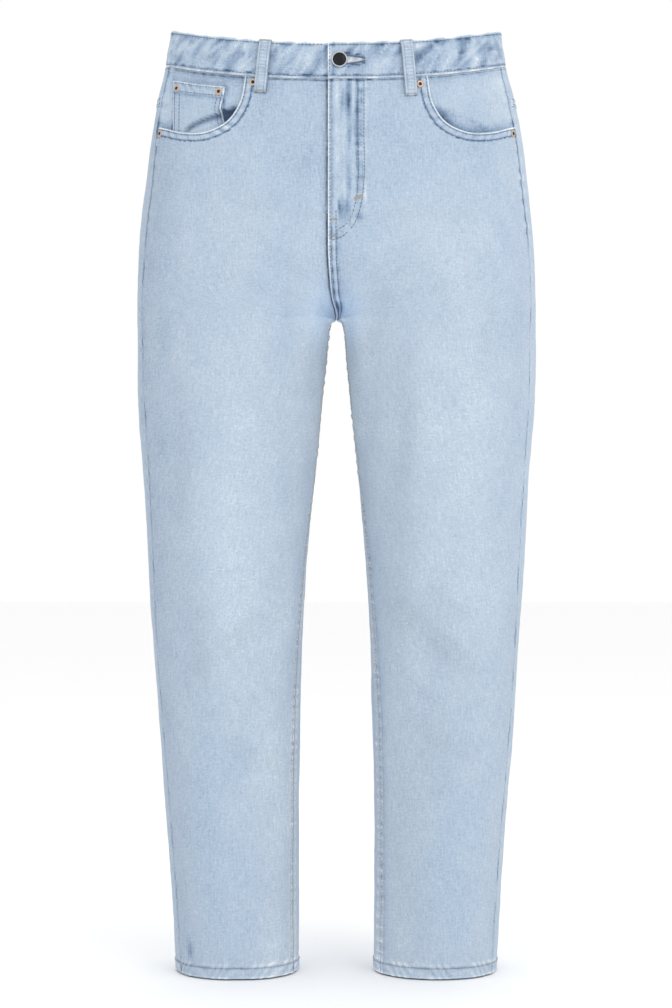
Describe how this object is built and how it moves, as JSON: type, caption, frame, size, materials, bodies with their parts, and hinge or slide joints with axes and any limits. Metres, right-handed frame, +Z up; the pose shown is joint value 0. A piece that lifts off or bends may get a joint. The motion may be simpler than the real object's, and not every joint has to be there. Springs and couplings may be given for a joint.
{
  "type": "straight jeans, filled out as if worn",
  "caption": "High-waist straight jeans in light washed blue denim, filled out with no wearer, with scooped front pockets, a coin pocket, belt loops, a dark waist button and copper rivets.",
  "frame": {"origin": "middle of the waist opening, level with the top edge of the waistband at the side seams, where a wearer's waist holds the jeans up", "axes": "+Z up out of the waist opening, -Y towards the front, +X towards the wearer's left"},
  "size_m": [0.4184, 0.2291, 0.9911],
  "materials": {
    "denim": "light washed blue cotton twill, matt, faded on the thighs",
    "thread": "pale grey and beige polyester sewing thread",
    "hem_thread": "tan polyester sewing thread",
    "button_metal": "black nickel, semi-gloss",
    "copper": "copper, satin"
  },
  "bodies": {
    "root": {"front_left": "denim", "front_right": "denim", "back_left": "denim", "back_right": "denim", "yoke_left": "denim", "yoke_right": "denim", "pocket_facing_left": "denim", "pocket_facing_right": "denim", "back_pocket_left": "denim", "back_pocket_right": "denim", "coin_pocket": "denim", "waistband": "denim", "belt_loop_1": "denim", "belt_loop_2": "denim", "belt_loop_3": "denim", "belt_loop_4": "denim", "belt_loop_5": "denim", "button": "button_metal", "rivet_1": "copper", "rivet_2": "copper", "rivet_3": "copper", "rivet_4": "copper", "rivet_5": "copper", "rivet_6": "copper"}
  },
  "joints": []
}
